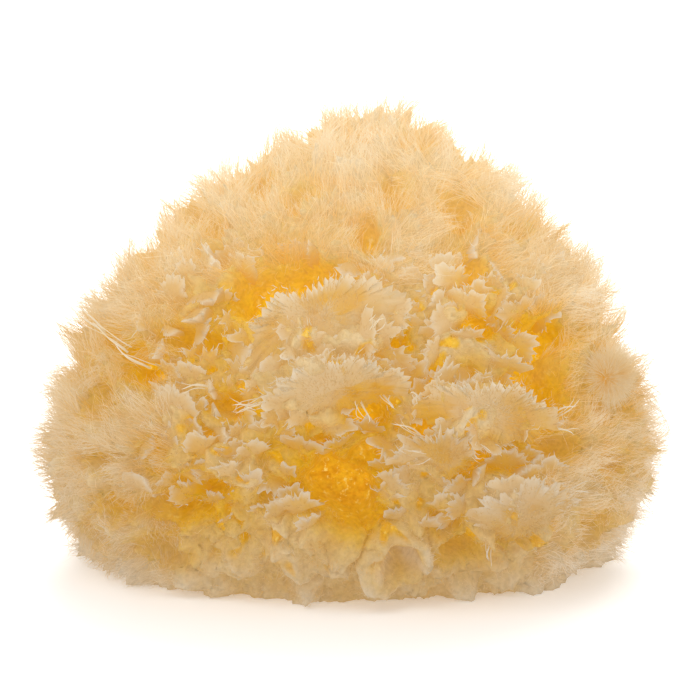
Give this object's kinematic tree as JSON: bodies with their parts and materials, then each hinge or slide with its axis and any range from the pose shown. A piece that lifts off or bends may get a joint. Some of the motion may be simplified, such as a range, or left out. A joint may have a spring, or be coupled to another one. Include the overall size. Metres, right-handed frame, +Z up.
{
  "type": "sea sponge",
  "caption": "Dry wool sea sponge for the bath: a rounded three-cornered dome of ragged fibrous tufts with open canals between them, cut flat at its base.",
  "frame": {"origin": "middle of the flat cut at the base, under the middle of the sponge's box", "axes": "+X to the right along the sponge's greatest width, -Y towards the viewer in front, +Z up out of the cut base"},
  "size_m": [0.152, 0.1156, 0.1111],
  "materials": {
    "sponge_fibre": "dry, soft and fibrous, cream at the tips and golden in the canals"
  },
  "bodies": {
    "root": {"sponge": "sponge_fibre"}
  },
  "joints": []
}
